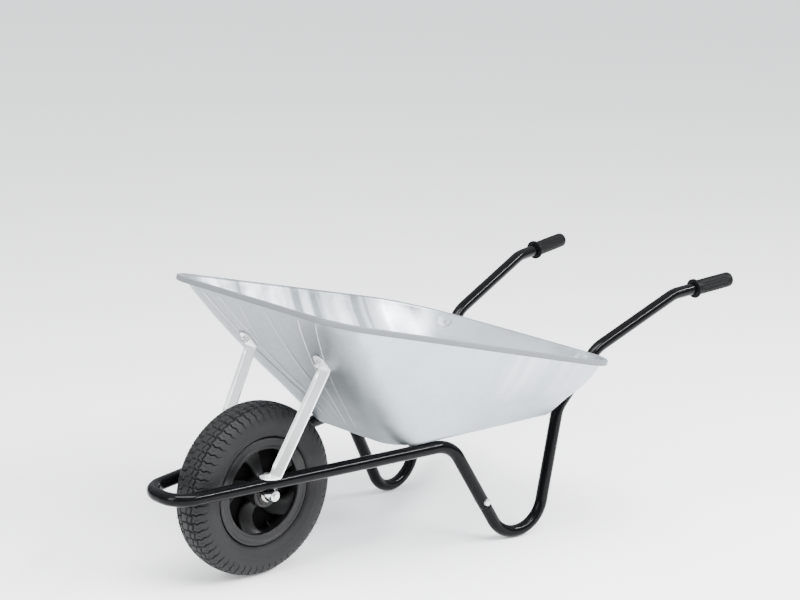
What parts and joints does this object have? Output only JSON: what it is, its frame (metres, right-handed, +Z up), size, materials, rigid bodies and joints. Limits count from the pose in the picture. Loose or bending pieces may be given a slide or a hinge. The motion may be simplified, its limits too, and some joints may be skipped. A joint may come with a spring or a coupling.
{
  "type": "wheelbarrow",
  "caption": "Builder's wheelbarrow with a pressed steel pan, a tubular frame with a tipping hoop, leg-and-handle tubes, folded front stays and one pneumatic wheel.",
  "frame": {"origin": "middle of the footprint, on the ground under the wheel and the two feet", "axes": "+X forwards to the wheel, +Y to the left of someone holding the grips, +Z up"},
  "size_m": [1.4127, 0.6746, 0.5754],
  "materials": {
    "galvanised_sheet": "hot-dip galvanised, satin with soft spangle",
    "black_enamel": "gloss black stoved enamel",
    "bright_zinc": "bright zinc plate, satin",
    "tyre_rubber": "moulded rubber, matt with a slight sheen",
    "butyl_rubber": "matt",
    "wheel_plastic": "fine-grained moulded plastic",
    "grip_plastic": "soft moulded plastic, satin",
    "nylon": "plain nylon"
  },
  "bodies": {
    "barrow": {"pan": "galvanised_sheet", "front_frame": "black_enamel", "left_leg_handle": "black_enamel", "right_leg_handle": "black_enamel", "left_grip": "grip_plastic", "right_grip": "grip_plastic", "left_stay": "bright_zinc", "right_stay": "bright_zinc", "left_axle_bracket": "black_enamel", "right_axle_bracket": "black_enamel", "axle": "bright_zinc", "axle_spacers": "bright_zinc", "axle_nuts": "bright_zinc", "axle_washers": "bright_zinc", "stay_foot_bolts": "bright_zinc", "stay_foot_nuts": "bright_zinc", "stay_foot_washers": "bright_zinc", "stay_top_bolts": "bright_zinc", "stay_top_nuts": "bright_zinc", "stay_top_washers": "bright_zinc", "leg_joint_bolts": "bright_zinc", "leg_joint_nuts": "bright_zinc", "pan_handle_bolts": "bright_zinc", "pan_handle_washers": "bright_zinc", "pan_handle_nuts": "bright_zinc"},
    "wheel": {"tyre": "tyre_rubber", "inner_tube": "butyl_rubber", "wheel_centre": "wheel_plastic", "left_bush": "nylon", "right_bush": "nylon", "valve_stem": "butyl_rubber", "valve_cap": "wheel_plastic"}
  },
  "joints": [
    {"name": "wheel_spin", "type": "hinge", "parent": "barrow", "child": "wheel", "pos_m": [0.46024, 0, 0.178], "axis": [0, 1, 0], "continuous": true}
  ]
}
